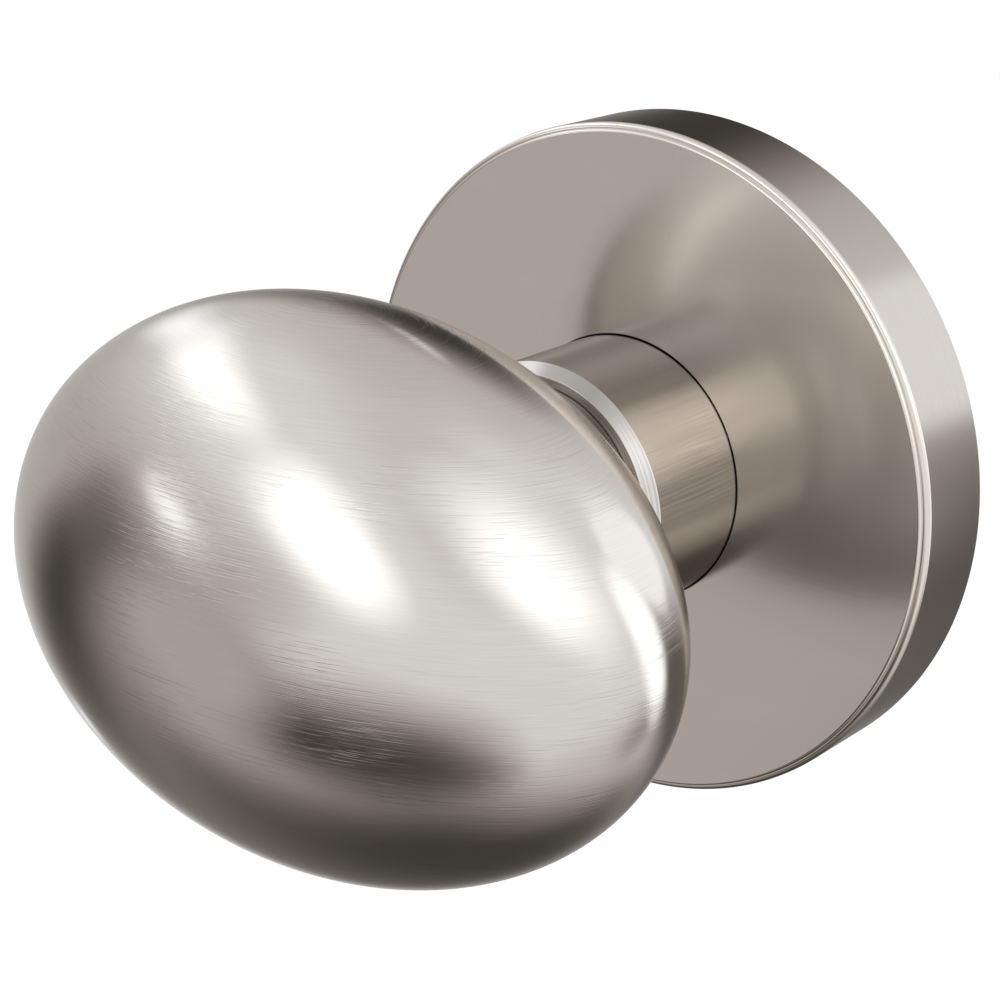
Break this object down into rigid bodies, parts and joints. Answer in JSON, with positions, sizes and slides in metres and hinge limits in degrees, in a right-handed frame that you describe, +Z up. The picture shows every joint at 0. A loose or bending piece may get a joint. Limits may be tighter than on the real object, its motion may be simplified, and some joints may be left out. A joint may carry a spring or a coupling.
{
  "type": "door knob",
  "caption": "Egg-shaped door knob on a thick round rose, one side of a sprung passage set, with a return spring, fixing posts and a square half spindle.",
  "frame": {"origin": "centre of the rose's back face, on the spindle's axis, in the plane of the door face", "axes": "+Y into the door along the spindle, -Y out of the door towards the hand, +Z up, X along the egg's long axis"},
  "size_m": [0.068, 0.095, 0.066],
  "materials": {
    "satin_nickel": "satin brushed nickel plating, level brush lines on the knob",
    "satin_nickel_rose": "satin nickel plating with a bright stepped rim",
    "satin_nickel_neck": "satin nickel plating brushed along the neck, bright shoulder",
    "zinc_casting": "bare die casting, fine matt grain",
    "zinc_plated_steel": "bright zinc plated turned steel",
    "spring_steel": "dark oiled spring steel",
    "spindle_steel": "drawn bar, lengthwise lines",
    "nylon": "moulded black nylon"
  },
  "bodies": {
    "rose": {"rose_cover": "satin_nickel_rose", "mounting_plate": "zinc_casting", "neck_bush": "nylon", "threaded_posts": "zinc_plated_steel", "cover_clips": "spring_steel", "clip_rivets": "zinc_plated_steel", "spring_cage": "zinc_casting", "cage_screws": "zinc_plated_steel", "tail_bush": "nylon", "return_spring": "spring_steel"},
    "knob": {"knob_front_shell": "satin_nickel", "knob_back_shell": "satin_nickel", "neck_sleeve": "satin_nickel_neck", "knob_shank": "zinc_plated_steel", "backing_washer": "zinc_plated_steel", "core_nut": "zinc_plated_steel", "thrust_washer": "nylon", "drive_cam": "zinc_casting", "disc_spring": "spring_steel", "circlip": "spring_steel", "half_spindle": "spindle_steel", "spindle_pin": "spring_steel"}
  },
  "joints": [
    {"name": "knob_turn", "type": "hinge", "parent": "rose", "child": "knob", "pos_m": [0, 0, 0], "axis": [0, 1, 0], "range_deg": [-50, 50], "stiffness_Nm_per_rad": 0.35, "deforming": ["return_spring"]}
  ]
}
